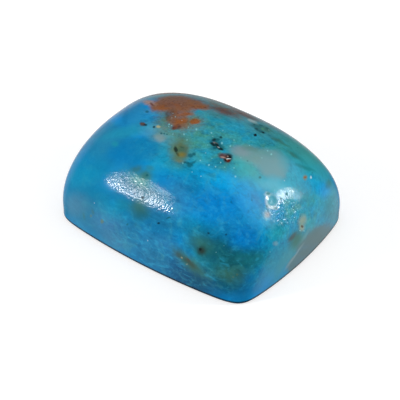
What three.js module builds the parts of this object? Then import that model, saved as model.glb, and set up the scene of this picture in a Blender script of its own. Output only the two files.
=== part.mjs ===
// A cushion cabochon of Peruvian blue opal, cut and polished from one piece of stone.
// In plan it is a rectangle with bowed sides and rounded corners. It has a flat back, a narrow upright
// band round its foot and a high dome over that. Millimetres, +Z up. The origin is the middle of the
// flat back, and the long way of the stone runs along X.

import * as THREE from "three";
import { mergeVertices } from "three/addons/utils/BufferGeometryUtils.js";

// Driving dimensions
const LENGTH = 20.0;
const WIDTH = 15.8;
const HEIGHT = 9.1;
const BAND_TOP = 0.8; // height at which the upright band turns into the dome
const FOOT_ROUND = 0.3; // radius of the worn edge between the band and the flat back

// Plan outline: the lower the roundness, the squarer the corner. It grows towards the apex, where the
// dome's level curves are plain ellipses.
const FOOT_ROUNDNESS = 0.071;
const APEX_ROUNDNESS = 0.5;
const ROUNDNESS_DELAY = 1.6; // 1 softens the corners evenly with height, and more does so later
// Share by which a side falls back from its middle to its corners. It fades towards the apex too.
const END_BOW = 0.071;
const SIDE_BOW = 0.092;

// Dome profile: 2 is an ellipse, and more is a fuller shoulder.
const END_FULLNESS = 3.05; // seen from the side, over the length
const SIDE_FULLNESS = 2.5; // seen from the end, over the width
const MEAN_FULLNESS = (END_FULLNESS + SIDE_FULLNESS) / 2;

// Mesh fineness
const AROUND = 120;
const DOME_ROWS = 26;
const ROW_CROWDING = 0.6; // below 1 puts fewer rows on the nearly flat crown and more at the foot
const FOOT_ROWS = 4;
const CORNER_CROWDING = 0.5; // share by which points move closer together at the foot's corners

// Where a row of points lies: its height, its share of the plan outline along X and along Y, and how
// far it is inset from that outline in millimetres. A dome row's share of the way down is an angle
// about the middle of the foot.
function domeRow(share) {
  const turn = (share ** ROW_CROWDING * Math.PI) / 2;
  const c = Math.cos(turn);
  const s = Math.sin(turn);
  const rise = share < 1 ? c * (c ** MEAN_FULLNESS + s ** MEAN_FULLNESS) ** (-1 / MEAN_FULLNESS) : 0;
  return {
    height: BAND_TOP + (HEIGHT - BAND_TOP) * rise,
    rise,
    alongX: (1 - rise ** END_FULLNESS) ** (1 / END_FULLNESS),
    alongY: (1 - rise ** SIDE_FULLNESS) ** (1 / SIDE_FULLNESS),
    inset: 0,
  };
}

function footRow(share) {
  const turn = (share * Math.PI) / 2;
  return {
    height: FOOT_ROUND * (1 - Math.sin(turn)),
    rise: 0,
    alongX: 1,
    alongY: 1,
    inset: FOOT_ROUND * (1 - Math.cos(turn)),
  };
}

// All rows from the apex down to the middle of the back.
function profileRows() {
  const rows = [];
  for (let i = 0; i <= DOME_ROWS; i++) rows.push(domeRow(i / DOME_ROWS));
  for (let i = 0; i <= FOOT_ROWS; i++) rows.push(footRow(i / FOOT_ROWS));
  rows.push({ height: 0, rise: 0, alongX: 0, alongY: 0, inset: 0 });
  return rows;
}

// A point of the cushion outline at a row's height, in the direction of an angle.
function outlinePoint(angle, row) {
  const bow = 1 - row.rise;
  const turned = angle + ((CORNER_CROWDING * bow) / 4) * Math.sin(4 * angle);
  const roundness = FOOT_ROUNDNESS + (APEX_ROUNDNESS - FOOT_ROUNDNESS) * row.rise ** ROUNDNESS_DELAY;
  const power = 1 / roundness;
  const c = Math.cos(turned);
  const s = Math.sin(turned);
  const reach = (Math.abs(c) ** power + Math.abs(s) ** power) ** -roundness;
  const x = c * reach;
  const y = s * reach;
  return new THREE.Vector3(
    (LENGTH / 2 - row.inset) * row.alongX * x * (1 - END_BOW * bow * y * y),
    (WIDTH / 2 - row.inset) * row.alongY * y * (1 - SIDE_BOW * bow * x * x),
    row.height,
  );
}

// A ball whose rows of points are moved to the rows of the stone.
function cabochonGeometry() {
  const rows = profileRows();
  const ball = new THREE.SphereGeometry(1, AROUND, rows.length - 1);
  ball.rotateX(Math.PI / 2);
  const position = ball.getAttribute("position");
  const uv = ball.getAttribute("uv");
  for (let i = 0; i < position.count; i++) {
    const row = rows[Math.round((1 - uv.getY(i)) * (rows.length - 1))];
    const angle = Math.atan2(position.getY(i), position.getX(i));
    const point = outlinePoint(angle, row);
    position.setXYZ(i, point.x, point.y, point.z);
  }
  ball.deleteAttribute("normal");
  ball.deleteAttribute("uv");
  const merged = mergeVertices(ball);
  merged.computeVertexNormals();
  return merged;
}

const polishedOpal = new THREE.MeshStandardMaterial({
  color: 0x1f86bd,
  roughness: 0.12,
  metalness: 0,
});

const cabochon = new THREE.Mesh(cabochonGeometry(), polishedOpal);
cabochon.name = "cabochon";

const part = new THREE.Group();
part.add(cabochon);

export default part;
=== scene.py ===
# A polished blue opal cabochon that stands on its flat back on a pale table.
# The skin follows the same formula as the CAD solid, but finer. Its markings are painted by the
# shader: each blot has a place in one of the views of the stone, and lies on the skin there.

import math
from collections import namedtuple

import bmesh
import bpy
import numpy as np
from mathutils import Matrix, Vector, noise
from mathutils.bvhtree import BVHTree
from mathutils.kdtree import KDTree


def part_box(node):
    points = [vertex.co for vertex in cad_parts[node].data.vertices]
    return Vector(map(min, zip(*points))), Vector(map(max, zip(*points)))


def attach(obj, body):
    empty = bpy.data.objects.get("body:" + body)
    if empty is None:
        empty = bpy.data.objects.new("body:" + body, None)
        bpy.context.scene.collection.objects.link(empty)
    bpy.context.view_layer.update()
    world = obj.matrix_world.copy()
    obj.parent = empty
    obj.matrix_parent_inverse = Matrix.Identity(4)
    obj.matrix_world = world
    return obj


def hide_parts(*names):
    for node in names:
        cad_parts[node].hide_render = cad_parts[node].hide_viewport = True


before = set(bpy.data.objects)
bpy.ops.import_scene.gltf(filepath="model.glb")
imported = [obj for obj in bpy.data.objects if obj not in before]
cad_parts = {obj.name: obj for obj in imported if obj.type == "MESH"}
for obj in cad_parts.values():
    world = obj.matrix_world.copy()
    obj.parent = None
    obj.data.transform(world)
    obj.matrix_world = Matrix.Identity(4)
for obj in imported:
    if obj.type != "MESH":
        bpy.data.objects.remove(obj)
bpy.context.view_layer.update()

MM = 0.001

# The stone's size, from the frame
low_corner, high_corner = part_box("cabochon")
LENGTH = high_corner.x - low_corner.x
WIDTH = high_corner.y - low_corner.y
HEIGHT = high_corner.z - low_corner.z

# The stone's form, with the values of the CAD solid
BAND_TOP = 0.8 * MM
FOOT_ROUND = 0.3 * MM
FOOT_ROUNDNESS = 0.071
APEX_ROUNDNESS = 0.5
ROUNDNESS_DELAY = 1.6
END_BOW = 0.071
SIDE_BOW = 0.092
END_FULLNESS = 3.05
SIDE_FULLNESS = 2.5
MEAN_FULLNESS = (END_FULLNESS + SIDE_FULLNESS) / 2

# Fineness of the skin. The number around and the sum of the rows are both even.
AROUND = 440
DOME_ROWS = 150
BAND_ROWS = 4
FOOT_ROWS = 6
BACK_ROWS = 14
CORNER_CROWDING = 0.5

# Hand cutting leaves the skin very slightly uneven.
WAVE_HEIGHT = 0.012 * MM
WAVE_LENGTH = 4.5 * MM

# The photo's camera. Its focal length is in the photo's pixels.
PHOTO_SIDE = 400
PHOTO_FOCAL = 1496.5
PHOTO_AZIMUTH = 37.43
PHOTO_ELEVATION = 38.26
PHOTO_DISTANCE = 120 * MM
PHOTO_TARGET = Vector((0.945, -1.37, 3.0)) * MM
SENSOR_WIDTH = 36.0
NEAR_LIMIT = 5 * MM


class View:
    """A camera round the stone. It takes the picture, or only places marks by pixels."""

    def __init__(self, azimuth, elevation, target=Vector((0, 0, HEIGHT / 2))):
        a = math.radians(azimuth)
        e = math.radians(elevation)
        self.back = Vector((math.sin(a) * math.cos(e), -math.cos(a) * math.cos(e), math.sin(e)))
        self.right = Vector((math.cos(a), math.sin(a), 0))
        self.up = self.back.cross(self.right)
        self.target = target
        self.eye = target + self.back * PHOTO_DISTANCE

    def ray(self, x, y):
        """The direction in which a pixel looks."""
        across = (x - PHOTO_SIDE / 2) / PHOTO_FOCAL
        down = (y - PHOTO_SIDE / 2) / PHOTO_FOCAL
        return (self.right * across - self.up * down - self.back).normalized()

    def pixel(self, point):
        """The pixel in which a point shows."""
        seen = point - self.eye
        scale = -PHOTO_FOCAL / seen.dot(self.back)
        return np.array((seen.dot(self.right) * scale, -seen.dot(self.up) * scale))


# The photo's view, and three more from which the hidden parts are marked
PHOTO_VIEW = View(PHOTO_AZIMUTH, PHOTO_ELEVATION, PHOTO_TARGET)
FAR_VIEW = View(PHOTO_AZIMUTH + 180, PHOTO_ELEVATION)
LEFT_VIEW = View(PHOTO_AZIMUTH - 110, 30)
UNDER_VIEW = View(0, -90)


# Objects

def add_object(name, data):
    item = bpy.data.objects.new(name, data)
    bpy.context.scene.collection.objects.link(item)
    return item


def mesh_object(name, form):
    """Turns a form of points and faces into an object, and frees it."""
    mesh = bpy.data.meshes.new(name)
    form.to_mesh(mesh)
    form.free()
    return add_object(name, mesh)


# Skin. A row is a ring of points at one height. It is the outline, drawn in along x and y and set
# in from the edge. Rise goes from 0 at the top of the band to 1 at the apex.

Row = namedtuple("Row", "height inset rise along_x along_y", defaults=(0.0, 0.0, 1.0, 1.0))


def dome_row(share):
    turn = share * math.pi / 2
    c = math.cos(turn)
    s = math.sin(turn)
    rise = max(0.0, c * (abs(c) ** MEAN_FULLNESS + s ** MEAN_FULLNESS) ** (-1 / MEAN_FULLNESS))
    rise = 0.0 if share == 1 else rise
    return Row(
        height=BAND_TOP + (HEIGHT - BAND_TOP) * rise,
        rise=rise,
        along_x=(1 - rise ** END_FULLNESS) ** (1 / END_FULLNESS),
        along_y=(1 - rise ** SIDE_FULLNESS) ** (1 / SIDE_FULLNESS),
    )


def band_row(share):
    return Row(BAND_TOP + (FOOT_ROUND - BAND_TOP) * share)


def foot_row(share):
    turn = share * math.pi / 2
    return Row(FOOT_ROUND * (1 - math.sin(turn)), FOOT_ROUND * (1 - math.cos(turn)))


def back_row(share):
    return Row(0.0, FOOT_ROUND, along_x=1 - share, along_y=1 - share)


def profile_rows():
    """All rows of points, from the apex down to the middle of the back."""
    rows = [dome_row(i / DOME_ROWS) for i in range(DOME_ROWS + 1)]
    rows += [band_row((i + 1) / BAND_ROWS) for i in range(BAND_ROWS)]
    rows += [foot_row((i + 1) / FOOT_ROWS) for i in range(FOOT_ROWS)]
    rows += [back_row((i + 1) / BACK_ROWS) for i in range(BACK_ROWS)]
    return rows


def outline_point(angle, row):
    """A point of the cushion outline at a row's height, in the direction of an angle."""
    bow = 1 - row.rise
    turned = angle + CORNER_CROWDING * bow / 4 * math.sin(4 * angle)
    roundness = FOOT_ROUNDNESS + (APEX_ROUNDNESS - FOOT_ROUNDNESS) * row.rise ** ROUNDNESS_DELAY
    power = 1 / roundness
    c = math.cos(turned)
    s = math.sin(turned)
    reach = (abs(c) ** power + abs(s) ** power) ** -roundness
    x = c * reach
    y = s * reach
    return Vector((
        (LENGTH / 2 - row.inset) * row.along_x * x * (1 - END_BOW * bow * y * y),
        (WIDTH / 2 - row.inset) * row.along_y * y * (1 - SIDE_BOW * bow * x * x),
        row.height,
    ))


def make_waves(stone):
    """Presses soft waves into the dome, which fade out towards the foot. The back stays flat."""
    stone.normal_update()
    moves = []
    for vertex in stone.verts:
        wave = noise.noise(vertex.co / WAVE_LENGTH) * WAVE_HEIGHT
        fade = min(1.0, max(0.0, vertex.co.z - FOOT_ROUND) / BAND_TOP)
        moves.append(vertex.normal * (wave * fade - WAVE_HEIGHT * fade))
    for vertex, move in zip(stone.verts, moves):
        vertex.co += move


# Dents. A dent is a shallow bowl in the skin, where a pixel of the photo's view shows it. The rows
# give its radius and depth in millimetres.

Dent = namedtuple("Dent", "name at radius depth view")

DENTS = [Dent(name, at, radius * MM, depth * MM, PHOTO_VIEW) for name, at, radius, depth in (
    ("red pit", (228, 157.5), 0.38, 0.05),
    ("olive crescent", (176.5, 150.5), 0.30, 0.03),
    ("dimple in the right shine", (271.4, 199.8), 0.50, 0.075),
    ("pink dimple", (268, 215.4), 0.34, 0.02),
    ("brown eye", (201, 250.8), 0.34, 0.03),
    ("cream spot", (302.5, 222), 0.45, 0.025),
    ("brown streak", (186, 260), 0.40, 0.02),
    ("dark cluster", (215.5, 142), 0.40, 0.02),
    ("tongue tip", (176, 127.5), 0.35, 0.02),
)]


def find_place(mark, skin):
    """The point of the skin that shows at a mark's pixel, and the normal there."""
    hit, normal, _, _ = skin.ray_cast(mark.view.eye, mark.view.ray(*mark.at))
    if hit is None:
        raise ValueError(f"the mark {mark.name} misses the stone")
    return hit, normal


def press_dents(stone, skin):
    """Presses the dents in, each along the normal at its middle."""
    stone.verts.ensure_lookup_table()
    tree = KDTree(len(stone.verts))
    for vertex in stone.verts:
        tree.insert(vertex.co, vertex.index)
    tree.balance()
    for mark in DENTS:
        middle, normal = find_place(mark, skin)
        for _, index, distance in tree.find_range(middle, mark.radius):
            bowl = (1 - (distance / mark.radius) ** 4) ** 2
            stone.verts[index].co -= normal * mark.depth * bowl


def build_stone():
    """A ball whose rows of points are moved to the rows of the stone. Its skin from before the
    dents comes with it, to place the marks on."""
    rows = profile_rows()
    stone = bmesh.new()
    levels = len(rows) - 1
    bmesh.ops.create_uvsphere(stone, u_segments=AROUND // 2, v_segments=levels // 2, radius=1)
    bmesh.ops.subdivide_edges(stone, edges=stone.edges[:], cuts=1, use_grid_fill=True)
    for vertex in stone.verts:
        level = math.acos(vertex.co.z / vertex.co.length) / math.pi
        row = rows[round(level * levels)]
        vertex.co = outline_point(math.atan2(vertex.co.y, vertex.co.x), row)
    make_waves(stone)
    skin = BVHTree.FromBMesh(stone)
    press_dents(stone, skin)
    for face in stone.faces:
        face.smooth = True
    return mesh_object("opal_cabochon", stone), skin


# Markings. A blot is an ellipse in a view: its middle in pixels, its half sizes along and across,
# and its turn in degrees, clockwise from the view's right. Strength is how much of the pigment
# shows, edge is how softly it ends, and torn is how ragged its outline is. The rows of a table
# have these columns in this order, with the last three in hundredths, and may end early.

Blot = namedtuple("Blot", "name pigment at size turn strength edge torn view")


def blot(view, name, pigment, at, size, turn=0, strength=90, edge=50, torn=50):
    return Blot(name, pigment, at, size, turn, strength / 100, edge / 100, torn / 100, view)


def marks(view, rows):
    """The blots of a view."""
    return [blot(view, *row) for row in rows]


def areas(view, rows):
    """Blots that only say where something is. Their rows have no pigment."""
    return [blot(view, name, "white", *rest) for name, *rest in rows]


# Pigments as they show on a screen, red, green and blue out of 255
PIGMENTS = {
    "lake": (4, 122, 176),
    "azure": (0, 140, 212),
    "bright_azure": (0, 162, 218),
    "cyan": (0, 149, 200),
    "deep_azure": (0, 120, 192),
    "royal": (4, 114, 168),
    "slate_blue": (33, 120, 158),
    "shallow": (0, 117, 158),
    "turquoise": (34, 152, 174),
    "far_teal": (52, 144, 142),
    "crown_blue": (34, 136, 186),
    "right_haze": (16, 122, 142),
    "pale_turquoise": (62, 152, 154),
    "sea": (32, 148, 152),
    "teal": (24, 120, 128),
    "deep_teal": (10, 82, 96),
    "haze_blue": (20, 106, 138),
    "front_blue": (18, 106, 146),
    "navy": (0, 68, 110),
    "shelf": (20, 100, 138),
    "pine": (16, 84, 90),
    "moss": (52, 100, 82),
    "olive": (92, 110, 62),
    "ochre": (126, 112, 48),
    "rust": (134, 92, 66),
    "old_rust": (112, 94, 76),
    "umber": (70, 54, 44),
    "plum": (96, 84, 84),
    "orange": (138, 84, 36),
    "oxblood": (88, 34, 26),
    "grey": (112, 150, 150),
    "mist": (102, 150, 158),
    "mauve": (126, 150, 158),
    "lilac": (78, 107, 111),
    "wisp": (70, 174, 200),
    "fibre": (44, 172, 212),
    "lagoon": (14, 134, 168),
    "lavender": (62, 118, 162),
    "grey_blue": (64, 118, 146),
    "crest_grey": (88, 142, 146),
    "crest_teal": (60, 138, 142),
    "bright_rust": (150, 84, 30),
    # Painted shade for the rim round the foot
    "foot_shade": (4, 28, 40),
    "steel": (10, 122, 168),
    "toe": (16, 68, 80),
    "bark": (54, 62, 48),
    "eye_brown": (36, 48, 42),
    "green_tint": (76, 152, 118),
    "bright_sea": (50, 166, 172),
    "bright_cyan": (34, 166, 196),
    "shoulder": (22, 158, 180),
    "veil": (18, 90, 100),
    "grain": (128, 200, 208),
    "cream": (176, 172, 128),
    "blush": (176, 146, 132),
    "ink": (8, 22, 26),
    "white": (206, 226, 228),
}

# The broad fields of colour, with partly painted reflection along the far crest
FIELDS = marks(PHOTO_VIEW, [
    ("left slope", "slate_blue", (98, 142), (28, 28), 0, 90, 80),
    ("left shoulder", "shallow", (82, 182), (26, 28), 0, 90, 80),
    ("left end grey", "slate_blue", (70, 200), (12, 22), 20, 60, 80),
    ("front left", "haze_blue", (92, 216), (40, 20), 30, 90, 70),
    ("front", "front_blue", (146, 246), (48, 18), 32, 90, 70),
    ("grey left edge", "grey_blue", (74, 205), (12, 9), 20, 60, 80),
    ("lavender front left", "lavender", (106, 222), (14, 10), 30, 50, 80),
    ("grey front left", "grey_blue", (114, 241), (13, 7), 30, 50, 90),
    ("lagoon front left", "lagoon", (112, 211), (13, 8), 20, 60, 80),
    ("lavender front", "lavender", (166, 241), (10, 7), 20, 25, 80),
    ("lagoon shoulder", "lagoon", (82, 176), (14, 8), -10, 50, 80),
    ("royal bay", "royal", (134, 151), (29, 13), -5, 90, 40),
    ("royal crown", "crown_blue", (131, 113), (16, 11), 0, 90, 60),
    ("royal crown low", "crown_blue", (142, 124), (13, 8), 0, 60, 80),
    ("crown band", "turquoise", (128, 131), (26, 5), -12, 50, 70),
    ("crown light", "azure", (117, 119), (6, 4), 0, 60, 80),
    ("crown streak", "royal", (125, 116), (2.4, 9), 8, 50, 70),
    ("crown streak right", "crown_blue", (134, 112), (2, 8), 14, 40, 70),
    ("turquoise field", "turquoise", (224, 146), (66, 30), 10, 90, 60),
    # Partly painted reflection: the grey and teal along the far crest stand in for the pale
    # surroundings mirrored there.
    ("crest reflection over the rust", "crest_grey", (172, 95), (34, 3.2), -1, 80, 60),
    ("crest reflection over the tail", "crest_grey", (224, 105), (28, 5), 18, 90, 70),
    ("crest reflection right", "crest_grey", (257, 121), (24, 7), 25, 85, 60),
    ("crest reflection green", "crest_teal", (268, 128), (16, 6), 28, 60, 80),
    ("crest reflection far right", "crest_teal", (306, 150), (30, 8), 44, 80, 60),
    ("turquoise under the tail", "turquoise", (213, 117), (26, 8), 18, 90, 90),
    ("pale under the tail", "crest_grey", (236, 116), (10, 4), 20, 50, 90),
    ("grey under the tail", "mist", (211, 112), (9, 4), 12, 40, 90),
    ("turquoise crown", "pale_turquoise", (200, 136), (36, 14), 0, 70, 70),
    ("blue crown", "shallow", (212, 123), (14, 6), 10, 25, 80),
    ("royal bay right", "royal", (151, 150), (8, 8), 0, 50, 90),
    ("teal far end", "far_teal", (294, 154), (36, 26), 30, 90, 70),
    ("blue right of the comma", "cyan", (295, 172), (8, 13), -15, 50, 70),
    ("right shoulder", "shoulder", (308, 194), (28, 30), 20, 80, 70),
    ("right edge", "crest_teal", (333, 203), (7, 22), -8, 70, 70),
    ("right skirt", "teal", (325, 216), (18, 24), -20, 60, 70),
    ("azure heart", "azure", (222, 206), (52, 34), 20, 90, 60),
    ("azure upper", "bright_azure", (216, 182), (36, 12), 5, 90, 70),
    ("cyan shore", "cyan", (178, 169), (26, 11), 10, 90, 80),
    ("cyan under shine", "cyan", (188, 226), (15, 9), 30, 50, 90),
    ("lagoon run", "lagoon", (192, 228), (17, 10), 35, 60, 80),
    ("steel heart", "steel", (176, 190), (24, 18), 20, 75, 90),
    ("steel over the shine", "deep_azure", (160, 178), (18, 9), 20, 50, 90),
    ("steel under the shine", "steel", (154, 200), (20, 9), 26, 70, 90),
    ("haze right of the shine", "grey_blue", (177, 200), (17, 16), 30, 40, 90),
    ("veil in the shine", "veil", (141, 190), (24, 9), 24, 70, 90),
    # Partly painted sheen: the pale green haze at the top of the left shine.
    ("green sheen in the shine", "green_tint", (140, 179), (10, 6), 20, 50, 90),
    ("shelf low", "shelf", (157, 229), (18, 9), 30, 70, 90),
    ("steel front", "steel", (207, 218), (14, 10), 20, 40, 90),
    ("deep azure", "deep_azure", (206, 196), (22, 12), 0, 70, 80),
    ("deep azure low", "deep_azure", (240, 224), (22, 14), 40, 70, 80),
    ("smudge in the heart", "steel", (195, 186), (8, 10), 20, 60, 90),
    ("smudge by the tongue", "royal", (126, 112), (6, 11), 30, 35, 90),
    ("deep azure below", "deep_azure", (210, 212), (12, 9), 0, 50, 90),
    ("sea patch", "bright_sea", (246, 168), (17, 9), 20, 90, 70),
    ("green under the halo", "teal", (180, 164), (13, 7), 10, 60, 90),
    ("green tint left", "green_tint", (204, 146), (7, 4), 20, 40, 90),
    ("green tint middle", "green_tint", (230, 139), (9, 3.5), 15, 40, 90),
    ("green tint rust", "green_tint", (168, 131), (9, 5), 15, 40, 90),
    ("right front haze", "right_haze", (276, 256), (28, 26), -35, 90, 70),
    ("bright right front", "cyan", (268, 246), (9, 9), 0, 40, 90),
    ("right cyan", "cyan", (258, 210), (14, 22), -20, 40, 80),
    ("lavender by the shine", "lavender", (258, 202), (4, 11), -28, 50, 80),
    ("lagoon right front", "lagoon", (281, 231), (13, 10), -20, 60, 80),
    ("bright run", "bright_azure", (258, 224), (9, 26), -15, 50, 90),
    ("green slope", "pine", (222, 250), (38, 18), 12, 90, 70),
    ("green slope low", "pine", (230, 266), (22, 12), -10, 75, 80),
    ("teal right of the slope", "teal", (249, 259), (10, 9), 0, 50, 90),
    ("navy toe", "navy", (192, 280), (38, 12), 25, 90, 70),
    ("navy point", "toe", (246, 290), (24, 12), -10, 35, 80),
    ("green toe", "toe", (214, 281), (28, 13), 20, 70, 80),
    ("olive toe", "pine", (230, 280), (12, 10), 10, 50, 80),
    ("dark shelf", "shelf", (156, 214), (36, 9), 25, 90, 70),
    ("deep blue right", "deep_azure", (245, 237), (17, 12), 10, 90, 70),
    ("bright low blue", "front_blue", (156, 258), (14, 8), 30, 90, 70),
    ("blue window", "cyan", (314, 186), (13, 9), 25, 60, 70),
    ("blue window low", "azure", (325, 190), (6, 7), 0, 50, 70),
    ("teal by the cream spot", "sea", (279, 232), (9, 8), -20, 60, 80),
]) + marks(FAR_VIEW, [
    ("far teal", "turquoise", (262, 252), (38, 22), -20, 90, 80),
    ("far azure", "azure", (150, 256), (44, 26), 20, 90, 70),
    ("far slope", "pine", (204, 288), (32, 13), -20, 70, 80),
    ("far foot", "navy", (150, 296), (30, 9), 36, 70, 80),
    ("far sea", "sea", (88, 222), (22, 26), 0, 70, 80),
]) + marks(LEFT_VIEW, [
    ("end azure", "deep_azure", (176, 262), (38, 22), 12, 80, 70),
    ("end teal", "teal", (108, 252), (26, 20), 20, 60, 80),
    ("end foot", "front_blue", (150, 298), (40, 9), 10, 90, 80),
]) + marks(UNDER_VIEW, [
    ("back azure", "azure", (160, 184), (48, 34), 20, 90, 70),
    ("back teal", "teal", (244, 218), (42, 30), -15, 80, 80),
    ("back green", "pine", (232, 158), (28, 16), 10, 70, 80),
    ("back navy", "navy", (126, 236), (34, 18), -20, 70, 80),
])

# Patches on the fields, such as the grey comma, the lilac wedge and the olive halos
PATCHES = marks(PHOTO_VIEW, [
    ("comma head", "grey", (258, 156), (26, 9), 16, 80, 35),
    ("comma middle", "mist", (273, 163), (14, 14), 30, 80, 35),
    ("comma tail", "mist", (275, 172), (11, 9), 25, 80, 35),
    ("comma tip", "mauve", (240, 151), (9, 4.5), 15, 60),
    ("comma shade", "moss", (250, 148.6), (7, 2.4), 6, 30, 90, 100),
    ("comma shade right", "far_teal", (266, 153), (9, 3), 20, 30, 90, 100),
    ("comma blue side", "turquoise", (284, 161), (5, 8), -10, 40, 90, 100),
    ("comma blush", "mauve", (243, 153), (5, 2), 10, 40, 90),
    ("comma shore", "pale_turquoise", (254, 174), (12, 3), 48, 60, 80),
    ("comma green", "sea", (240, 173), (7, 6), 0, 40, 80),
    ("comma shore left", "bright_sea", (244, 164), (10, 5), 35, 60, 80),
    # Painted sheen: the pale rows round the dimple and right of the glow stand in for the haze round
    # the right shine.
    ("sheen over the dimple", "bright_cyan", (274, 184.5), (17, 7), 8, 70, 90),
    ("sheen right of the glow", "mist", (305, 193), (8, 11), 0, 35, 90),
    ("sheen below the dimple", "grain", (269, 218), (6, 9), -10, 30, 90),
    ("strongest sheen above the dimple", "grain", (272, 186), (12, 5), 8, 30, 90),
    ("wedge shore", "crest_teal", (297, 246), (26, 5), -56, 60, 80),
    ("mauve wedge top", "lilac", (319, 236), (16, 8.6), -30, 90, 35, 30),
    ("mauve wedge middle", "lilac", (310, 245), (16, 8.5), -44, 90, 25, 30),
    ("mauve wedge low", "lilac", (299, 260), (15, 6), -46, 90, 25, 30),
    ("wedge border", "mauve", (295, 256), (14, 0.9), -55, 50, 60),
    ("wedge border top", "crest_grey", (305, 236), (9, 1.2), -58, 50, 80),
    ("olive seam", "moss", (296, 240), (5.5, 8.5), 30, 80, 80),
    ("umber seam", "umber", (292.5, 237), (5.5, 1.8), -48, 60, 70),
    ("cream halo", "moss", (301, 227), (5, 10), 18, 40, 90),
    ("cream spot", "cream", (303, 220.5), (3.2, 4.6), 15, 45, 90),
    ("cream spot foot", "cream", (302, 228), (2.4, 2.8), 15, 45, 80),
    ("green below shine", "moss", (139, 208), (8, 9), -20, 70, 90),
    ("green below shine low", "deep_teal", (141, 215), (7, 5), 0, 40, 90),
    ("teal below shine", "teal", (123, 204), (7, 5), 20, 40, 90),
    ("green slope top", "moss", (200, 243), (12, 7), 20, 50, 90),
    ("green mottle", "moss", (230, 275), (13, 7), 10, 60, 80),
    ("brown streak", "moss", (188, 262), (18, 5.4), 40, 75, 90, 100),
    ("brown streak core", "bark", (189.5, 263), (8, 2.4), 40, 70, 90, 100),
    ("brown streak head", "bark", (178, 254.6), (4.4, 2.8), 40, 60, 90),
    ("brown eye halo", "moss", (203, 250), (6.5, 6), 0, 40, 90),
    ("brown eye halo right", "pine", (208, 252), (9, 8), 0, 50, 90),
    ("brown eye", "eye_brown", (201.6, 250.8), (3.9, 3.8), 0, 90, 80),
    ("olive over shine", "moss", (145.5, 174.5), (6, 5), 15, 75, 90, 80),
    ("olive crumb", "moss", (136.5, 168.5), (6, 3), -20, 60, 80),
    ("olive crumb right", "moss", (150, 168), (4, 2.4), 20, 40, 80),
    ("olive halo", "olive", (180, 147.5), (9.5, 12.5), 10, 75, 80, 80),
    ("olive halo heart", "olive", (180, 152), (6.5, 8), 0, 65, 70, 70),
    ("mauve patch", "mauve", (160, 138), (5.5, 4), 0, 85, 60),
    ("pale shore", "grey", (160, 133), (15, 7), 20, 40, 90),
    ("far green", "moss", (265, 129), (6, 2.6), 20, 65, 70, 100),
    ("far green low", "pine", (256, 126), (5.5, 2.4), 25, 60, 70, 100),
    ("far seam", "deep_teal", (261, 131.5), (5, 1.2), 22, 70, 70, 90),
    ("olive dash", "moss", (277, 139.6), (5.5, 1.4), 18, 65, 70, 90),
    ("olive dash low", "moss", (284, 144), (6, 1.2), 26, 50, 70, 80),
    ("olive dash right", "moss", (294, 155), (6, 1.6), 38, 70, 70, 90),
    ("dark vein right", "teal", (306, 168), (11, 1.6), 22, 80, 80, 80),
    ("dark vein top", "teal", (300, 158), (12, 1.4), 40, 50, 80, 80),
    ("olive edge spot", "moss", (329, 184), (3, 4), 10, 50, 80),
    ("far pale crumb", "grey", (255.5, 123.4), (3, 0.8), 20, 40, 80, 110),
    # Painted highlight: a white glint on the far edge
    ("far painted glint", "white", (252.2, 120.8), (4, 1.1), 20, 50, 80, 110),
]) + marks(FAR_VIEW, [
    ("far grey patch", "grey", (116, 240), (24, 8), 28, 70, 50, 90),
    ("far moss", "moss", (186, 296), (16, 6), 24, 70, 80),
    ("far olive", "olive", (270, 244), (14, 7), -30, 60, 90, 100),
]) + marks(LEFT_VIEW, [
    ("end lilac", "lilac", (214, 296), (26, 8), 16, 60, 60, 90),
    ("end moss", "moss", (130, 272), (20, 7), 34, 50, 90, 100),
]) + marks(UNDER_VIEW, [
    ("back grey", "grey", (186, 246), (26, 10), -12, 90, 40, 60),
    ("back olive", "olive", (222, 184), (14, 8), 30, 70, 80),
])

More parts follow.
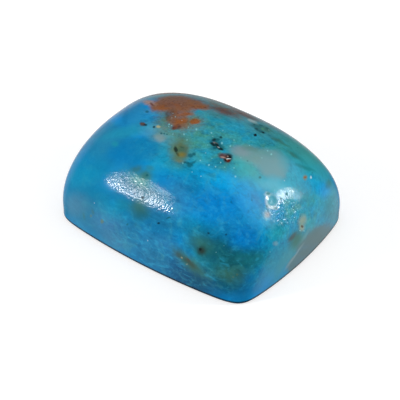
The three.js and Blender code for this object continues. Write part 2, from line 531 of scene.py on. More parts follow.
# The rust cap with its tongue and its plum tail
RUST = marks(PHOTO_VIEW, [
    ("ochre halo left", "olive", (165, 119), (9, 11), 0, 60, 90, 90),
    ("ochre halo right", "ochre", (187, 122), (13, 8), 0, 62, 90, 90),
    ("ochre shade under the cap", "ochre", (163, 110), (12, 3), 0, 40, 90, 90),
    ("rust cap", "rust", (176, 102.8), (24, 7.8), 1, 95, 30, 90),
    ("rust cap left", "rust", (159, 106.2), (9.5, 4.2), -6, 95, 35, 90),
    ("rust cap right", "rust", (197, 104.6), (12, 4.4), 10, 90, 40, 90),
    ("rust cap brow", "plum", (184, 97), (16, 2.4), 3, 45, 90, 100),
    ("rust cap shade", "oxblood", (171, 104.5), (13, 2.4), 2, 22, 90, 100),
    ("rust cap foot", "bright_rust", (163, 108.2), (9, 1.8), 4, 40, 80, 90),
    ("rust cap foot right", "bright_rust", (186, 108.6), (10, 1.8), 0, 35, 80, 90),
    ("rust tail", "bright_rust", (203, 107), (9, 1.6), 6, 50, 70, 90),
    ("green under the tail", "moss", (218, 115.5), (9, 2.5), 15, 35, 90, 90),
    ("plum tail", "plum", (223.5, 110.4), (15, 3.4), 18, 90, 70, 80),
    ("plum tail heart", "oxblood", (224, 110.8), (9, 1.6), 18, 35, 90, 100),
    ("crest line left", "plum", (215, 100.2), (9, 1.0), 17, 45, 80, 90),
    ("crest line right", "bark", (272, 125.8), (16, 0.9), 30, 30, 80, 90),
    ("crest line", "plum", (232, 107.4), (13, 1.1), 24, 60, 80, 90),
    ("plum tail top", "old_rust", (217, 105), (12, 1.2), 19, 40, 80, 100),
    ("plum shade", "plum", (231, 115.4), (11, 2.4), 20, 20, 90, 90),
    ("plum edge", "plum", (246, 113.6), (13, 1.6), 24, 60, 80, 70),
    ("plum thread", "plum", (244, 114.4), (13, 1.8), 23, 80, 70, 80),
    ("rust neck", "rust", (180, 111), (11, 3.4), 2, 80, 60, 90),
    ("rust neck left", "umber", (172.5, 116), (6, 5.5), 0, 70, 70, 100),
    ("neck rim", "bark", (167.4, 116), (1.6, 5), -8, 50, 80, 90),
    ("tongue", "rust", (178, 120.5), (9.5, 7.2), 20, 85, 60, 100),
    ("orange band", "bright_rust", (186, 114.6), (7.5, 2.3), -4, 75, 50, 80),
    ("orange band low", "bright_rust", (181, 121.4), (6.5, 2.8), -8, 75, 50, 80),
    ("orange lobe", "bright_rust", (195, 121.4), (5.2, 2.7), -6, 90, 35, 40),
    ("orange lobe top", "orange", (195, 119.6), (4, 0.9), -8, 40, 70),
    ("tongue tip", "oxblood", (176.5, 127.2), (5, 2.4), -10, 70, 60, 80),
    ("tongue tip red", "oxblood", (174, 128.2), (2.4, 1.2), -10, 50, 60),
    ("blush streak", "blush", (148.8, 102.4), (5.4, 2.4), 8, 90, 80, 90),
    ("blush rim", "oxblood", (151.8, 104.2), (2.4, 1.1), 35, 80, 60),
    ("brown spot", "umber", (142.6, 124), (2.8, 1.9), 10),
    ("brown spot heart", "orange", (142, 123.6), (1.0, 0.7), 10, 20, 80),
]) + marks(FAR_VIEW, [
    ("far rust", "rust", (227, 227), (24, 13), -12, 90, 50, 110),
    ("far rust lobe", "rust", (240, 241), (16, 6), -40, 90, 70, 110),
    ("far plum", "plum", (184, 221), (18, 5), 18, 80, 70, 100),
    ("far brown spot", "umber", (168, 268), (6, 2), 30, 70, 70, 100),
]) + marks(LEFT_VIEW, [
    ("end rust", "rust", (146, 226), (12, 5), 30, 80, 70, 110),
]) + marks(UNDER_VIEW, [
    ("back rust", "rust", (128, 150), (24, 11), -24, 90, 50, 100),
    ("back rust lobe", "umber", (254, 246), (12, 6), 18, 90, 60, 100),
])

# Dots, crumbs and rings, and painted highlights: the glints and the white rims round the dimples
SPECKS = marks(PHOTO_VIEW, [
    ("ink dot", "ink", (154, 127), (1.2, 1.0), 0, 80),
    ("cream grain", "cream", (158.2, 126.6), (2.0, 1.3), 0, 80),
    ("dark crumb left", "deep_teal", (147, 111.6), (1.8, 1.2), 0, 70),
    ("dark crumb low", "ink", (145.6, 124.8), (1.7, 1.2), 0, 80),
    ("grey patch dot left", "deep_teal", (161.4, 133.4), (1.1, 0.9), 0, 80),
    ("black crescent", "ink", (175.8, 149.4), (1.7, 3.2), -14, 85),
    ("black crescent foot", "ink", (178, 154.4), (1.2, 2.4), -40, 60),
    ("black crescent top", "ink", (182, 147.4), (2.8, 0.7), 12, 40),
    ("halo ring right", "umber", (186, 150.6), (2.0, 5.0), 4, 30, 90, 80),
    ("halo ring top", "umber", (180, 144.8), (5.0, 1.8), 8, 25, 90, 80),
    ("green core", "pine", (181.4, 149.6), (3.6, 2.8), 0, 45, 90),
    ("ochre core", "ochre", (181.8, 154.6), (3.2, 2.2), 0, 75, 80),
    ("orange foot", "ochre", (180, 161), (4, 1.4), 6, 40, 90),
    ("teal spot", "deep_teal", (190.4, 155.4), (2.6, 2.0), 0, 80, 50, 90),
    ("teal spot right", "deep_teal", (194.2, 154), (1.6, 1.4), 0, 80),
    ("teal spot low", "deep_teal", (190, 164.8), (3, 2.4), 0, 75, 50, 100),
    ("teal spot low wing", "deep_teal", (186.8, 162.8), (2.6, 1.4), 30, 70, 50, 100),
    ("teal spot low right wing", "deep_teal", (194, 162.4), (2.6, 1.3), -35, 65, 50, 100),
    ("teal spot low left", "deep_teal", (184.6, 162.6), (1.2, 1.0), 0, 70),
    ("cluster haze", "deep_teal", (217, 143.6), (7, 6.5), 0, 50, 90, 90),
    ("cluster body", "ink", (217, 144.6), (7, 3), 32, 50, 90, 100),
    ("cluster streak", "old_rust", (215.4, 142.6), (2.6, 0.6), 28, 50, 80),
    ("pit shade", "deep_teal", (222, 161), (9, 6), 10, 50, 90, 90),
    ("cluster top", "ink", (214.2, 139.6), (2.4, 1.4), -12, 85),
    ("cluster top right", "deep_teal", (217.8, 139.4), (1.6, 1.2), 0, 80),
    ("cluster spike", "ink", (210.4, 143.2), (1.6, 0.6), 8, 50),
    ("cluster lobe", "ink", (214.4, 145.4), (1.7, 1.1), 15, 80),
    ("cluster lobe low", "ink", (217, 147), (1.5, 1.1), -20, 80),
    ("cluster shade", "deep_teal", (213, 148.4), (2.8, 1.6), 10, 50, 80),
    ("cluster tip", "pine", (222, 149), (2.0, 1.3), 10, 85),
    ("cluster blush", "blush", (213.9, 142.8), (1.0, 0.7), 0, 45),
    ("cluster dot", "ink", (221, 137.2), (1.3, 1.1), 0, 80),
    ("cluster left", "ink", (212.4, 143.8), (2.2, 1.3), 25, 85),
    ("cluster middle", "ink", (217, 145), (2.4, 1.3), 30, 85),
    ("cluster low left", "deep_teal", (214.6, 148), (1.6, 1.0), 0, 80),
    ("cluster low", "ink", (220.4, 148.8), (2.7, 1.3), 18),
    ("cluster glint", "grain", (221.9, 143), (1.0, 1.1), 0, 70),
    ("cluster glint low", "white", (218.4, 147.2), (1.2, 0.5), 25, 50),
    ("red pit rim", "umber", (228, 158), (4.7, 4.5), 0, 60, 50, 30),
    ("red pit ring", "ink", (228.2, 157.8), (4.2, 3.9), 0, 98, 35, 30),
    ("red pit", "oxblood", (228.2, 160.4), (2.6, 1.8), 0, 95, 50, 30),
    ("red pit side", "oxblood", (222.4, 155.8), (4.0, 2.6), 12, 85, 60, 60),
    ("red pit blush", "blush", (223, 157.2), (2.4, 0.8), 8, 70),
    ("red pit ring foot", "ink", (225.6, 160), (1.6, 0.8), 50, 80, 50, 30),
    ("red pit glint", "white", (228.6, 158.3), (2.4, 0.5), 6, 85, 50, 30),
    ("red pit glint low", "blush", (227.2, 159), (1.2, 0.6), 10, 90, 50, 30),
    ("red pit glint top", "blush", (228, 156), (0.8, 0.8), -30, 60),
    ("far ink dot", "ink", (255.2, 135), (1.5, 1.3), 0, 100),
    ("far ink streak", "ink", (262.8, 132.4), (1.8, 0.7), 25, 80),
    ("far ink crumb", "ink", (254.4, 124.6), (1.0, 0.7), 0, 50),
    ("far ink crumb low", "ink", (256.4, 128.8), (2.0, 0.8), 20, 65),
    ("far ink crumb top", "pine", (261, 125.4), (2.4, 0.8), 20, 70),
    ("far ink crumb right", "pine", (267, 128.4), (1.6, 1.0), 25, 70),
    ("far green crumb", "green_tint", (262.6, 128.8), (1.6, 1.0), 25, 60),
    ("grey patch dot", "deep_teal", (164.2, 133.6), (1.0, 0.8), 0, 70),
    ("grey patch dot right", "deep_teal", (166.8, 134.2), (0.9, 0.8), 0, 60),
    ("cream spot eye", "umber", (302.3, 226.5), (1.3, 1.2)),
    ("ochre dot", "ochre", (305.2, 177.5), (2.2, 2.6), 0, 60),
    ("ochre dot eye", "orange", (305.2, 177.2), (1.1, 1.2)),
    ("white dash", "white", (311, 177.4), (0.7, 1.4), -10, 70),
    ("brown eye core", "ink", (200.2, 249.6), (1.3, 1.4), 0, 80),
    ("ink dot under shine", "ink", (158.6, 223), (1.3, 1.0), 0, 85),
    ("ink dot near shine", "deep_teal", (168.5, 217.8), (2.4, 0.9), -20, 80),
    ("ink dot front left", "deep_teal", (127.4, 224.4), (1.1, 1.0), 0, 70),
    ("ink dot mid front", "ink", (208.5, 233.3), (1.1, 1.1), 0, 70),
    ("ink dot right front", "ink", (226, 234.5), (1.1, 1.0), 0, 60),
    ("olive speck", "olive", (102, 221.5), (1.5, 2.2), 0, 60),
    ("olive stroke", "moss", (84, 216), (1.0, 3.0), -10, 35, 80, 90),
    ("olive stroke right", "moss", (93, 212), (1.2, 2.6), -15, 40, 80, 90),
    ("olive speck left", "olive", (91, 216), (1.0, 1.6), 0, 40),
    ("streak crumb", "cream", (181.6, 257.6), (1.0, 0.7), 40, 35, 80),
    ("streak crumb low", "cream", (187, 264.4), (0.8, 0.6), 0, 30, 80),
    ("streak hole", "umber", (188.4, 260), (2.2, 0.9), 40, 60, 80),
    ("rim dot", "pine", (260, 177.4), (1.3, 1.2), 0, 70),
    ("olive dot in shine", "deep_teal", (147, 175.2), (1.2, 1.1), 0, 80),
    ("green dot left", "sea", (115, 144), (3, 2.4), 0, 50, 90),
    # Painted highlights: the white rims round the dimple and over it stand in for the right shine
    # caught on their slopes.
    ("painted highlight round the dimple", "white", (270.8, 200.6), (5.4, 6.2), 0, 80, 40, 100),
    ("painted highlight under the dimple", "white", (272.4, 207.4), (5.4, 2.0), 12, 70, 50, 80),
    ("dimple floor", "turquoise", (272, 200.2), (4.7, 5.3), 0, 95, 40, 60),
    ("painted glint over the dimple", "white", (267, 194.4), (2.6, 2.4), 0, 50, 70, 100),
    # Painted highlight round the pink dimple
    ("painted glint round the pink dimple", "white", (267.2, 215), (3.4, 3.6), 0, 40, 90, 100),
    ("pink dimple", "blush", (267.6, 214.6), (2.4, 2.6), 0, 50, 70),
    ("pale ring", "mauve", (275.6, 243.6), (2.4, 2.0), 0, 45, 70),
    ("orange crumb low", "olive", (233, 277), (1.0, 0.8), 0, 30, 80),
    ("olive crumb low right", "olive", (237, 274.6), (0.9, 0.9), 0, 30, 80),
]) + marks(FAR_VIEW, [
    ("far dot", "ink", (206, 262), (1.6, 1.3), 0, 80),
    ("far dot right", "deep_teal", (118, 262), (2.2, 1.6), 0, 80),
    ("far cream grain", "cream", (258, 262), (2.2, 1.5), 0, 70),
]) + marks(LEFT_VIEW, [
    ("end dot", "ink", (190, 276), (1.5, 1.3), 0, 80),
    ("end dot left", "deep_teal", (118, 280), (2.2, 1.5), 0, 80),
]) + marks(UNDER_VIEW, [
    ("back dot", "ink", (212, 208), (1.8, 1.5), 0, 80),
])

# Small pale grains that catch the eye, by pixel and radius
PALE_GRAINS = [
    ((196.6, 129.2), 1.2), ((211.4, 132.8), 1.0), ((184, 134.4), 1.0), ((200.7, 176.5), 0.7),
    ((235.5, 176.5), 1.1), ((271.3, 154.2), 1.2), ((267.7, 150.8), 0.8), ((209, 165), 1.0),
    ((169.4, 124.3), 0.9), ((171.6, 125.6), 0.8), ((168.6, 126.4), 0.6), ((173, 113.4), 0.5),
    ((175.6, 116.8), 0.5), ((171.8, 118), 0.5), ((230.4, 146), 0.9), ((234, 140), 0.7),
    ((249.5, 145.4), 0.7), ((220.8, 162.4), 0.9), ((234, 168), 0.6),
    ((187, 140), 0.7), ((173, 134), 0.7), ((216, 252), 0.5), ((224, 246), 0.4), ((270, 252), 0.5),
    ((300, 230.6), 0.7), ((304, 231), 0.6), ((264.6, 217), 0.8), ((266.6, 220), 0.7),
    ((200.6, 160.6), 0.8), ((215.6, 166.7), 0.7), ((182.8, 163.3), 0.6), ((205.6, 152.8), 0.6),
    ((212, 158.3), 0.5), ((225, 167.2), 0.5), ((207.8, 145), 0.6), ((188.3, 127.2), 0.6),
    ((192, 172), 0.6), ((223, 130.5), 0.6), ((241, 158), 0.6), ((262, 158), 0.5),
]

GRAIN_SHARE = 0.8
GRAINS = marks(PHOTO_VIEW, [
    (f"pale grain {i + 1}", "grain", at, (GRAIN_SHARE * radius, GRAIN_SHARE * radius), 0, 75)
    for i, (at, radius) in enumerate(PALE_GRAINS)
])

# Where the opal is cloudy and mottled. Elsewhere it is calm.
LIVELY = areas(PHOTO_VIEW, [
    ("lively crown", (226, 142), (62, 28), 10, 100, 60),
    ("lively front", (160, 250), (60, 22), 32, 30, 60),
    ("lively front right", (235, 262), (40, 26), 0, 35, 60),
    ("lively heart", (206, 204), (50, 34), 20, 20, 70),
    ("lively below the heart", (214, 232), (40, 14), 20, 25, 70),
    ("lively right", (300, 215), (34, 34), 20, 90, 60),
    ("lively tongue", (180, 120), (30, 16), 0, 90, 60),
]) + areas(FAR_VIEW, [
    ("lively far side", (236, 248), (60, 40), -10, 90, 80),
    ("lively far right", (120, 240), (50, 34), 20, 90, 80),
]) + areas(LEFT_VIEW, [
    ("lively end", (150, 270), (50, 26), 14, 90, 80),
]) + areas(UNDER_VIEW, [
    ("lively back", (200, 200), (70, 60), 0, 90, 80),
])

# The rippled parts of the skin, where the shine breaks up
RIPPLES = areas(PHOTO_VIEW, [
    ("left shine", (135, 190), (26, 9), 26, 12, 60, 30),
    ("left shine top", (128, 181), (24, 9), 12, 10, 50, 30),
    ("left shine foot", (164, 206), (14, 8), 28, 6, 70, 30),
    ("right glow", (284, 193), (12, 7), -10, 5, 50, 30),
    ("right sparkle", (286, 212), (18, 13), 10, 55, 40, 40),
    ("tongue pits", (180, 126), (20, 12), 0, 15),
    ("halo pits", (184, 150), (14, 16), 0, 15),
])

# Where the polish is a little hazy and spreads the shine. This list needs a small, a middle and a
# large blot: see opal_material.
HAZY = areas(PHOTO_VIEW, [
    ("hazy left shine", (138, 190), (23, 10.5), 24, 100, 90, 40),
    ("hazy left tail", (164, 205), (13, 7), 26, 30, 90, 40),
    ("hazy dimple", (272, 200), (3, 3), 0, 60, 60),
    ("hazy right glow", (284, 195), (13, 7), 0, 70, 80, 30),
])

# Pits that stay dull in the shine
PITS = marks(PHOTO_VIEW, [
    ("pit in the glow", "teal", (286.6, 194), (1.2, 1.5)),
    ("pit in the glow low", "teal", (281, 198.6), (1.2, 0.9), 0, 80),
    ("pit over the dimple", "teal", (268.2, 193.4), (2.0, 1.7)),
    ("pit under the dimple", "teal", (266.8, 206.4), (1.2, 1.2), 0, 80),
    ("pit under the dimple right", "teal", (275.6, 208.2), (1.5, 1.2), 0, 80),
    ("pit on the left", "teal", (122.6, 176.6), (1.2, 1.0), 0, 80),
    ("pit in the left core", "umber", (142.6, 197.4), (1.4, 1.1), 0, 60),
    ("pit in the left core low", "umber", (134.6, 193.6), (0.9, 0.8), 0, 50),
])


# Shader tools

NOISE_MEAN = 0.5


class Wire:
    """A value in a material. Arithmetic on it adds Math nodes."""

    def __init__(self, tree, socket):
        self.tree = tree
        self.socket = socket

    def math(self, operation, *values):
        return add_node(self.tree, "ShaderNodeMath", {"operation": operation}, dict(enumerate(values)))

    def __add__(self, other):
        return self.math("ADD", self, other)

    def __radd__(self, other):
        return self.math("ADD", other, self)

    def __sub__(self, other):
        return self.math("SUBTRACT", self, other)

    def __rsub__(self, other):
        return self.math("SUBTRACT", other, self)

    def __mul__(self, other):
        return self.math("MULTIPLY", self, other)

    def __rmul__(self, other):
        return self.math("MULTIPLY", other, self)

    def __gt__(self, other):
        return self.math("GREATER_THAN", self, other)

    def __abs__(self):
        return self.math("ABSOLUTE", self)


def add_node(tree, kind, settings=None, inputs=None, output=0):
    """Adds a node: first its settings, then the values or links of its sockets. Returns an output."""
    node = tree.nodes.new(kind)
    for name, value in (settings or {}).items():
        setattr(node, name, value)
    for name, value in (inputs or {}).items():
        if isinstance(value, Wire):
            tree.links.new(value.socket, node.inputs[name])
        else:
            node.inputs[name].default_value = value
    return Wire(tree, node.outputs[output]) if node.outputs else node


def screen_colour(name):
    """A pigment as a linear colour, by the sRGB curve."""
    channels = [c / 255 for c in PIGMENTS[name]]
    linear = [c / 12.92 if c <= 0.04045 else ((c + 0.055) / 1.055) ** 2.4 for c in channels]
    return (*linear, 1.0)


def mix_colours(tree, factor, below, above, blend="MIX"):
    settings = {"data_type": "RGBA", "blend_type": blend}
    return add_node(tree, "ShaderNodeMix", settings, {0: factor, 6: below, 7: above}, output=2)


def tint(tree, colour, mask, pigment):
    """Lays a pigment over a colour, as far as a mask goes."""
    return mix_colours(tree, mask, colour, screen_colour(pigment))


def vector_math(tree, operation, *values, output=0):
    settings = {"operation": operation}
    return add_node(tree, "ShaderNodeVectorMath", settings, dict(enumerate(values)), output)


def smooth_step(tree, value, start, end, top=1.0):
    """0 at start and top at end. The end may be the lower of the two."""
    settings = {"interpolation_type": "SMOOTHSTEP", "clamp": False}
    inputs = {"Value": value, "From Min": start, "From Max": end, "To Min": 0.0, "To Max": top}
    return add_node(tree, "ShaderNodeMapRange", settings, inputs)


def cloud(tree, place, grain, detail=2.0, roughness=0.5, distortion=0.0, colour=False):
    """Noise about its mean, with features of about the grain's size."""
    inputs = {"Vector": place, "Scale": 1 / grain, "Detail": detail, "Roughness": roughness,
              "Distortion": distortion}
    return add_node(tree, "ShaderNodeTexNoise", None, inputs, output="Color" if colour else "Fac")


def warp(tree, place, grain, reach, detail=2.0):
    """Moves the place by noise, so that what is drawn there gets a natural outline."""
    drift = cloud(tree, place, grain, detail, colour=True)
    push = vector_math(tree, "SUBTRACT", drift, (NOISE_MEAN,) * 3)
    return vector_math(tree, "MULTIPLY_ADD", push, (reach,) * 3, place)


def grey_colour(tree, value):
    inputs = {"Red": value, "Green": value, "Blue": value}
    return add_node(tree, "ShaderNodeCombineColor", None, inputs)


def new_material(name):
    material = bpy.data.materials.new(name)
    material.use_nodes = True
    material.node_tree.nodes.clear()
    return material


def add_surface(tree, inputs):
    shader = add_node(tree, "ShaderNodeBsdfPrincipled", None, inputs)
    add_node(tree, "ShaderNodeOutputMaterial", None, {"Surface": shader})


# Painting on the skin

# The mean half sizes below which a blot is small or middling, and the most that a half size can be
SMALL_BLOT = 0.35 * MM
MIDDLE_BLOT = 1.3 * MM
LARGEST_BLOT = 6.0 * MM

# How far a blot's mask can reach, and how far a fully torn outline strays, in half sizes
REACH = 3.0
TORN_SHARE = 0.9

# The step along the skin that shows how a pixel lies on it
TINY_STEP = 0.01 * MM

# How the outlines of each size of blot waver, broadly and finely: grain, reach and detail
WAVERS = {
    "large": ((3.0 * MM, 1.2 * MM, 2), (0.9 * MM, 0.35 * MM, 2)),
    "middle": ((0.9 * MM, 0.4 * MM, 3), (0.25 * MM, 0.08 * MM, 2)),
    "small": ((0.3 * MM, 0.12 * MM, 2), (0.12 * MM, 0.04 * MM, 2)),
}

# How the outlines of each size of blot are torn: grain, detail and roughness
TEARS = {
    "large": (1.6 * MM, 5, 0.6),
    "middle": (0.6 * MM, 4, 0.6),
    "small": (0.22 * MM, 2, 0.5),
}


def lay_on_skin(mark, skin):
    """Where a blot lies: its middle, its turn and its three half sizes in metres."""
    hit, normal = find_place(mark, skin)
    first = normal.orthogonal().normalized()
    second = normal.cross(first)
    middle = mark.view.pixel(hit)
    shift = [
        (mark.view.pixel(hit + axis * TINY_STEP) - middle) / TINY_STEP
        for axis in (first, second)
    ]
    t = math.radians(mark.turn)
    unturn = np.array(((math.cos(t), math.sin(t)), (-math.sin(t), math.cos(t))))
    flatten = np.diag(1 / np.array(mark.size)) @ unturn @ np.array(shift).T
    _, stretch, axes = np.linalg.svd(flatten)
    along = (first * axes[0][0] + second * axes[0][1]).normalized()
    across = normal.cross(along)
    sizes = [min(LARGEST_BLOT, 1 / s) for s in stretch]
    turn = Matrix((along, across, normal)).transposed().to_euler()
    return hit, turn, (sizes[0], sizes[1], max(sizes))


def blot_mask(tree, mark, skin, inlets):
    """How much of a blot's pigment shows at a place."""
    middle, turn, sizes = lay_on_skin(mark, skin)
    mean_size = math.sqrt(sizes[0] * sizes[1])
    kind = "small" if mean_size < SMALL_BLOT else "middle" if mean_size < MIDDLE_BLOT else "large"
    inputs = {"Vector": inlets[f"{kind} place"], "Location": middle, "Rotation": turn,
              "Scale": tuple(size * REACH for size in sizes)}
    local = add_node(tree, "ShaderNodeMapping", {"vector_type": "TEXTURE"}, inputs)
    settings = {"gradient_type": "SPHERICAL"}
    nearness = add_node(tree, "ShaderNodeTexGradient", settings, {"Vector": local}, "Fac")
    tear = inlets[f"{kind} tear"]
    torn = tear.math("MULTIPLY_ADD", tear, -mark.torn * TORN_SHARE / REACH, nearness)
    outside = 1 - (1 + mark.edge) / REACH
    inside = 1 - max(0.0, 1 - mark.edge) / REACH
    return smooth_step(tree, torn, outside, inside, mark.strength)


class Canvas:
    """The skin while it is painted. Each size of blot has its own wavering place and tears."""

    def __init__(self, tree, place, skin):
        self.tree = tree
        self.skin = skin
        self.inlets = {}
        for size, (broad, fine) in WAVERS.items():
            self.inlets[f"{size} place"] = warp(tree, warp(tree, place, *broad), *fine)
        for size, tear in TEARS.items():
            self.inlets[f"{size} tear"] = cloud(tree, place, *tear) - NOISE_MEAN

    def paint(self, name, blots, colour):
        """Paints blots over a colour, in a node group of their own. Also says where any of them is."""
        group = bpy.data.node_groups.new(name, "ShaderNodeTree")
        group.interface.new_socket("Colour", in_out="INPUT", socket_type="NodeSocketColor")
        for inlet in self.inlets:
            kind = "NodeSocketVector" if inlet.endswith("place") else "NodeSocketFloat"
            group.interface.new_socket(inlet, in_out="INPUT", socket_type=kind)
        group.interface.new_socket("Colour", in_out="OUTPUT", socket_type="NodeSocketColor")
        group.interface.new_socket("Cover", in_out="OUTPUT", socket_type="NodeSocketFloat")
        inlets = {inlet: add_node(group, "NodeGroupInput", output=inlet) for inlet in self.inlets}
        painted = add_node(group, "NodeGroupInput", output="Colour")
        bare = 1.0
        for mark in blots:
            mask = blot_mask(group, mark, self.skin, inlets)
            painted = tint(group, painted, mask, mark.pigment)
            bare = (1 - mask) * bare
        add_node(group, "NodeGroupOutput", None, {"Colour": painted, "Cover": 1 - bare})
        inputs = {"Colour": colour, **self.inlets}
        result = add_node(self.tree, "ShaderNodeGroup", {"node_tree": group}, inputs, output="Colour")
        return result, Wire(self.tree, result.socket.node.outputs["Cover"])


# The opal's own material

# What is left of the clouds and of the ripples where the opal is calm
CALM_OPAL = 0.2
CALM_PEEL = 0.008

PEEL_GRAIN = 0.19 * MM
PEEL_DEPTH = 0.15 * MM

# Shifts that set one pattern apart from another
BAY_SHIFT = (0.03, 0.01, 0.02)
DOT_SHIFT = (0.02, 0.04, 0.01)

# Grain and strength of the wisps in the opal, broad and thin
WISPS = ((1.7 * MM, 0.14), (0.8 * MM, 0.18))

# The fibres' grain is coarser along the stone.
FIBRE_STRETCH = (0.45, 1.0, 1.0)

MOTTLE_STRENGTH = 0.28
PALE_DOT_STRENGTH = 0.35
DARK_DOT_STRENGTH = 0.55

# Roughness of the polish, and what rust, pits, haze and the back add to it
POLISH = 0.1
ROUGH_RUST = 0.15
ROUGH_PITS = 0.6
ROUGH_HAZE = 0.2
ROUGH_BACK = 0.35


def base_colour(tree, place):
    """Lake blue with drifts of azure and bays of turquoise, all round the stone."""
    drift = cloud(tree, place, grain=5.0 * MM, detail=3, distortion=0.6)
    azure = smooth_step(tree, drift, start=0.45, end=0.62)
    colour = tint(tree, screen_colour("lake"), azure, "azure")
    shifted = vector_math(tree, "ADD", place, BAY_SHIFT)
    bay = cloud(tree, shifted, grain=4.0 * MM, detail=3)
    return tint(tree, colour, smooth_step(tree, bay, start=0.52, end=0.7), "turquoise")


def add_clouds(tree, colour, place, lively):
    """Soft clouds inside the stone, pale, dark, green and blue. They are strongest where lively."""
    drift = warp(tree, place, grain=1.8 * MM, reach=0.9 * MM, detail=1)
    soft = cloud(tree, drift, grain=0.9 * MM, detail=2, roughness=0.45, distortion=0.8)
    pale = smooth_step(tree, soft, start=0.5, end=0.72, top=0.5) * lively
    colour = tint(tree, colour, pale, "pale_turquoise")
    dark = smooth_step(tree, soft, start=0.48, end=0.28, top=0.32) * lively
    colour = tint(tree, colour, dark, "navy")
    shade = cloud(tree, drift, grain=0.8 * MM, detail=1, distortion=0.5)
    most_lively = smooth_step(tree, lively, start=0.6, end=1.0)
    green = smooth_step(tree, shade, start=0.52, end=0.72, top=0.45) * most_lively
    colour = tint(tree, colour, green, "green_tint")
    blue = smooth_step(tree, shade, start=0.48, end=0.3, top=0.4) * most_lively
    return tint(tree, colour, blue, "cyan")


def add_wisps(tree, colour, place, lively):
    """Thin pale lines in some parts of the clouds."""
    for grain, strength in WISPS:
        bent = warp(tree, place, grain, reach=0.8 * grain, detail=1)
        line = abs(cloud(tree, bent, grain, detail=0) - NOISE_MEAN)
        part = cloud(tree, place, grain=1.7 * grain, detail=1)
        here = smooth_step(tree, part, start=0.44, end=0.66, top=strength)
        wisp = smooth_step(tree, line, start=0.09, end=0.0) * here * lively
        colour = tint(tree, colour, wisp, "wisp")
    return colour


def add_fibres(tree, colour, place, lively):
    """Faint light and dark fibres that run along the stone, but hardly where it is calm."""
    # This has to be a Mapping node. With Vector Math the later masks would wait for the colour,
    # as said in opal_material.
    inputs = {"Vector": place, "Scale": FIBRE_STRETCH}
    stretched = add_node(tree, "ShaderNodeMapping", None, inputs)
    drift = warp(tree, stretched, grain=0.9 * MM, reach=0.7 * MM, detail=1)
    fibre = cloud(tree, drift, grain=0.4 * MM, detail=3, roughness=0.65)
    fibrous = smooth_step(tree, lively, start=0.15, end=0.35)
    pale = smooth_step(tree, fibre, start=0.5, end=0.72, top=0.28) * fibrous
    colour = tint(tree, colour, pale, "fibre")
    dark = smooth_step(tree, fibre, start=0.5, end=0.28, top=0.32) * fibrous
    return tint(tree, colour, dark, "navy")


def add_mottle(tree, colour, place, lively):
    """The finest light and dark in the opal."""
    fine = cloud(tree, place, grain=0.2 * MM, detail=3, roughness=0.65)
    shade = grey_colour(tree, smooth_step(tree, fine, start=0.25, end=0.75))
    return mix_colours(tree, MOTTLE_STRENGTH * lively, colour, shade, blend="SOFT_LIGHT")


def scattered_dots(tree, place, spacing, radius, share):
    """Dots strewn through the stone, in a share of the cells of a random grid."""
    inputs = {"Vector": place, "Scale": 1 / spacing, "Randomness": 1.0}
    distance = add_node(tree, "ShaderNodeTexVoronoi", None, inputs, output="Distance")
    chance = add_node(tree, "ShaderNodeTexVoronoi", None, inputs, output="Color")
    lot = add_node(tree, "ShaderNodeSeparateColor", None, {0: chance}, output="Red")
    rim = radius / spacing
    return smooth_step(tree, distance, start=1.3 * rim, end=0.5 * rim) * (lot > 1 - share)


def add_dots(tree, colour, place):
    """The finest pale and dark dots, all round the stone."""
    pale = scattered_dots(tree, place, spacing=0.8 * MM, radius=0.055 * MM, share=0.15)
    colour = tint(tree, colour, PALE_DOT_STRENGTH * pale, "white")
    shifted = vector_math(tree, "ADD", place, DOT_SHIFT)
    dark = scattered_dots(tree, shifted, spacing=1.1 * MM, radius=0.08 * MM, share=0.15)
    return tint(tree, colour, DARK_DOT_STRENGTH * dark, "deep_teal")


def add_rust_grain(tree, colour, place, rust):
    """Dark, orange and plum flecks, only where the stone is rusty."""
    grain = cloud(tree, place, grain=0.2 * MM, detail=3, roughness=0.6)
    umber = smooth_step(tree, grain, start=0.5, end=0.3, top=0.6) * rust
    colour = tint(tree, colour, umber, "umber")
    fleck = cloud(tree, place, grain=0.5 * MM, detail=3, roughness=0.6, distortion=0.8)
    orange = smooth_step(tree, fleck, start=0.52, end=0.68, top=0.4) * rust
    colour = tint(tree, colour, orange, "bright_rust")
    plum = smooth_step(tree, fleck, start=0.45, end=0.3, top=0.4) * rust
    return tint(tree, colour, plum, "plum")


def paint_foot_shade(tree, colour, height):
    """Painted shade: the thin rim round the flat back is darkened where it meets the table. The back
    itself isn't.
    """
    low = smooth_step(tree, height, start=0.44 * MM, end=0.28 * MM, top=0.92)
    off_back = smooth_step(tree, height, start=0.0, end=0.04 * MM)
    return tint(tree, colour, low * off_back, "foot_shade")


def skin_relief(tree, canvas, place):
    """Worm-like ripples left by the polish. They are deepest in a few parts."""
    peel = cloud(tree, place, PEEL_GRAIN, detail=0, distortion=0.9)
    _, rippled = canvas.paint("ripples", RIPPLES, screen_colour("white"))
    depth = rippled * (1 - CALM_PEEL) + CALM_PEEL
    inputs = {"Strength": 1.0, "Distance": PEEL_DEPTH, "Height": peel * depth}
    return add_node(tree, "ShaderNodeBump", None, inputs)


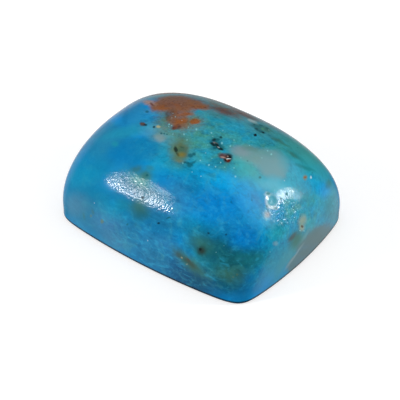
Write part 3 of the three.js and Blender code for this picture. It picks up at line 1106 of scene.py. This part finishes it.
def opal_material(skin):
    """The opal, painted from the fields of colour up to the pits, with its polish."""
    material = new_material("polished_opal")
    tree = material.node_tree
    place = add_node(tree, "ShaderNodeTexCoord", output="Object")
    canvas = Canvas(tree, place, skin)
    # The hazy parts come first. They hold blots of all three sizes and add no colour, so what
    # their group converts is ready early for the later groups. Without it the masks of those
    # would wait for the colour, and overflow the shader's stack: the stone comes out black.
    _, hazy = canvas.paint("hazy parts", HAZY, screen_colour("white"))
    colour, _ = canvas.paint("fields", FIELDS, base_colour(tree, place))
    _, lively = canvas.paint("lively parts", LIVELY, screen_colour("white"))
    lively = lively * (1 - CALM_OPAL) + CALM_OPAL
    colour = add_clouds(tree, colour, place, lively)
    colour = add_wisps(tree, colour, place, lively)
    colour = add_fibres(tree, colour, place, lively)
    colour = add_mottle(tree, colour, place, lively)
    colour, _ = canvas.paint("patches", PATCHES, colour)
    colour, rust = canvas.paint("rust", RUST, colour)
    colour = add_rust_grain(tree, colour, place, rust)
    colour = add_dots(tree, colour, place)
    colour, _ = canvas.paint("specks", SPECKS + GRAINS, colour)
    colour, pits = canvas.paint("pits", PITS, colour)
    height = add_node(tree, "ShaderNodeSeparateXYZ", None, {0: place}, output="Z")
    colour = paint_foot_shade(tree, colour, height)
    back = smooth_step(tree, height, start=0.03 * MM, end=0.0)
    added = ROUGH_RUST * rust + ROUGH_PITS * pits + ROUGH_HAZE * hazy + ROUGH_BACK * back
    add_surface(tree, {
        "Base Color": colour,
        "Roughness": added + POLISH,
        "IOR": 1.45,
        "Normal": skin_relief(tree, canvas, place),
        "Subsurface Weight": 0.15,
        "Subsurface Radius": (0.4, 0.8, 1.0),
        "Subsurface Scale": 0.5 * MM,
    })
    return material


# Table, lights, surroundings and camera

TABLE_RADIUS = 1.5
TABLE_SIDES = 96
TABLE_GLOW = 0.6
TABLE_ALBEDO = (0.5, 0.5, 0.5, 1.0)
WHITE = (1.0, 1.0, 1.0, 1.0)

LIGHT_DISTANCE = 0.6

# Watts per square metre that give a lamp a radiance of 1
UNIT_RADIANCE = 4

# Rectangles of light that face the stone: turn from the photo's camera and elevation, the angles
# at which the stone sees their sides, how bright they are, and whether the polish mirrors them
Lamp = namedtuple("Lamp", "turn elevation width height radiance mirrored")
LAMPS = {
    "left_lamp": Lamp(-72, 13.5, 4.5, 9, 85, True),
    "left_veil": Lamp(-76.5, 26, 12, 18, 7, True),
    "left_glow": Lamp(-79, 12, 5, 7, 1.5, True),
    "right_lamp": Lamp(89.5, 21.5, 5.5, 17, 50, True),
    "right_low_lamp": Lamp(88, 5, 13, 9, 6, True),
    "left_soft": Lamp(-73, 20, 14, 14, 7.5, False),
    "fill": Lamp(0, 80, 80, 80, 0.93, False),
}


def build_table():
    """A pale lit table. The polish doesn't mirror it: it mirrors the dim surroundings instead."""
    disc = bmesh.new()
    bmesh.ops.create_circle(disc, cap_ends=True, segments=TABLE_SIDES, radius=TABLE_RADIUS)
    table = mesh_object("table", disc)
    material = new_material("lit_table")
    add_surface(material.node_tree, {
        "Base Color": TABLE_ALBEDO,
        "Roughness": 0.9,
        "Specular IOR Level": 0.0,
        "Emission Color": WHITE,
        "Emission Strength": TABLE_GLOW,
    })
    table.data.materials.append(material)
    table.visible_glossy = False


def lamp_side(angle):
    """The side of a lamp that the stone sees at an angle."""
    return 2 * LIGHT_DISTANCE * math.tan(math.radians(angle / 2))


def build_lights():
    for name, lamp in LAMPS.items():
        direction = View(PHOTO_AZIMUTH + lamp.turn, lamp.elevation).back
        light = bpy.data.lights.new(name, "AREA")
        light.shape = "RECTANGLE"
        light.size = lamp_side(lamp.width)
        light.size_y = lamp_side(lamp.height)
        light.energy = UNIT_RADIANCE * light.size * light.size_y * lamp.radiance
        item = add_object(name, light)
        item.location = direction * LIGHT_DISTANCE
        item.rotation_euler = direction.to_track_quat("Z", "Y").to_euler()
        item.visible_glossy = lamp.mirrored


Glow = namedtuple("Glow", "turn elevation start full radiance")

# Soft glows that only the polish mirrors: directions from the photo's camera, the angles from
# their middle at which they start and are full, and how bright they are
GLOWS = {
    "low left": Glow(-86, -36, 28, 8, 0.30),
    "low right": Glow(112, -36, 32, 12, 0.45),
    "low behind": Glow(180, -32, 36, 14, 0.30),
    "left behind": Glow(-145, -18, 34, 10, 0.34),
    "right": Glow(98, 50, 46, 12, 1.35),
}
# How bright the surroundings are elsewhere
DIM = 0.05


def build_surroundings():
    """Dim all round, with a few soft glows. They light nothing directly."""
    world = bpy.data.worlds.new("studio")
    bpy.context.scene.world = world
    world.use_nodes = True
    tree = world.node_tree
    tree.nodes.clear()
    direction = add_node(tree, "ShaderNodeTexCoord", output="Generated")
    light = DIM
    for glow in GLOWS.values():
        middle = tuple(View(PHOTO_AZIMUTH + glow.turn, glow.elevation).back)
        nearness = vector_math(tree, "DOT_PRODUCT", direction, middle, output="Value")
        start, full = (math.cos(math.radians(angle)) for angle in (glow.start, glow.full))
        light = smooth_step(tree, nearness, start, full, glow.radiance) + light
    background = add_node(tree, "ShaderNodeBackground", None, {"Color": WHITE, "Strength": light})
    add_node(tree, "ShaderNodeOutputWorld", None, {"Surface": background})
    world.cycles_visibility.diffuse = False


def build_camera():
    data = bpy.data.cameras.new("camera")
    data.sensor_width = SENSOR_WIDTH
    data.lens = PHOTO_FOCAL * SENSOR_WIDTH / PHOTO_SIDE
    data.clip_start = NEAR_LIMIT
    camera = add_object("camera", data)
    turn = Matrix((PHOTO_VIEW.right, PHOTO_VIEW.up, PHOTO_VIEW.back)).transposed()
    camera.matrix_world = Matrix.Translation(PHOTO_VIEW.eye) @ turn.to_4x4()
    bpy.context.scene.camera = camera


build_camera()
build_surroundings()
build_lights()
build_table()

stone, stone_skin = build_stone()
stone.data.materials.append(opal_material(stone_skin))
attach(stone, "root")
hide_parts("cabochon")

bpy.context.scene.view_settings.view_transform = "Standard"

bpy.context.view_layer.update()
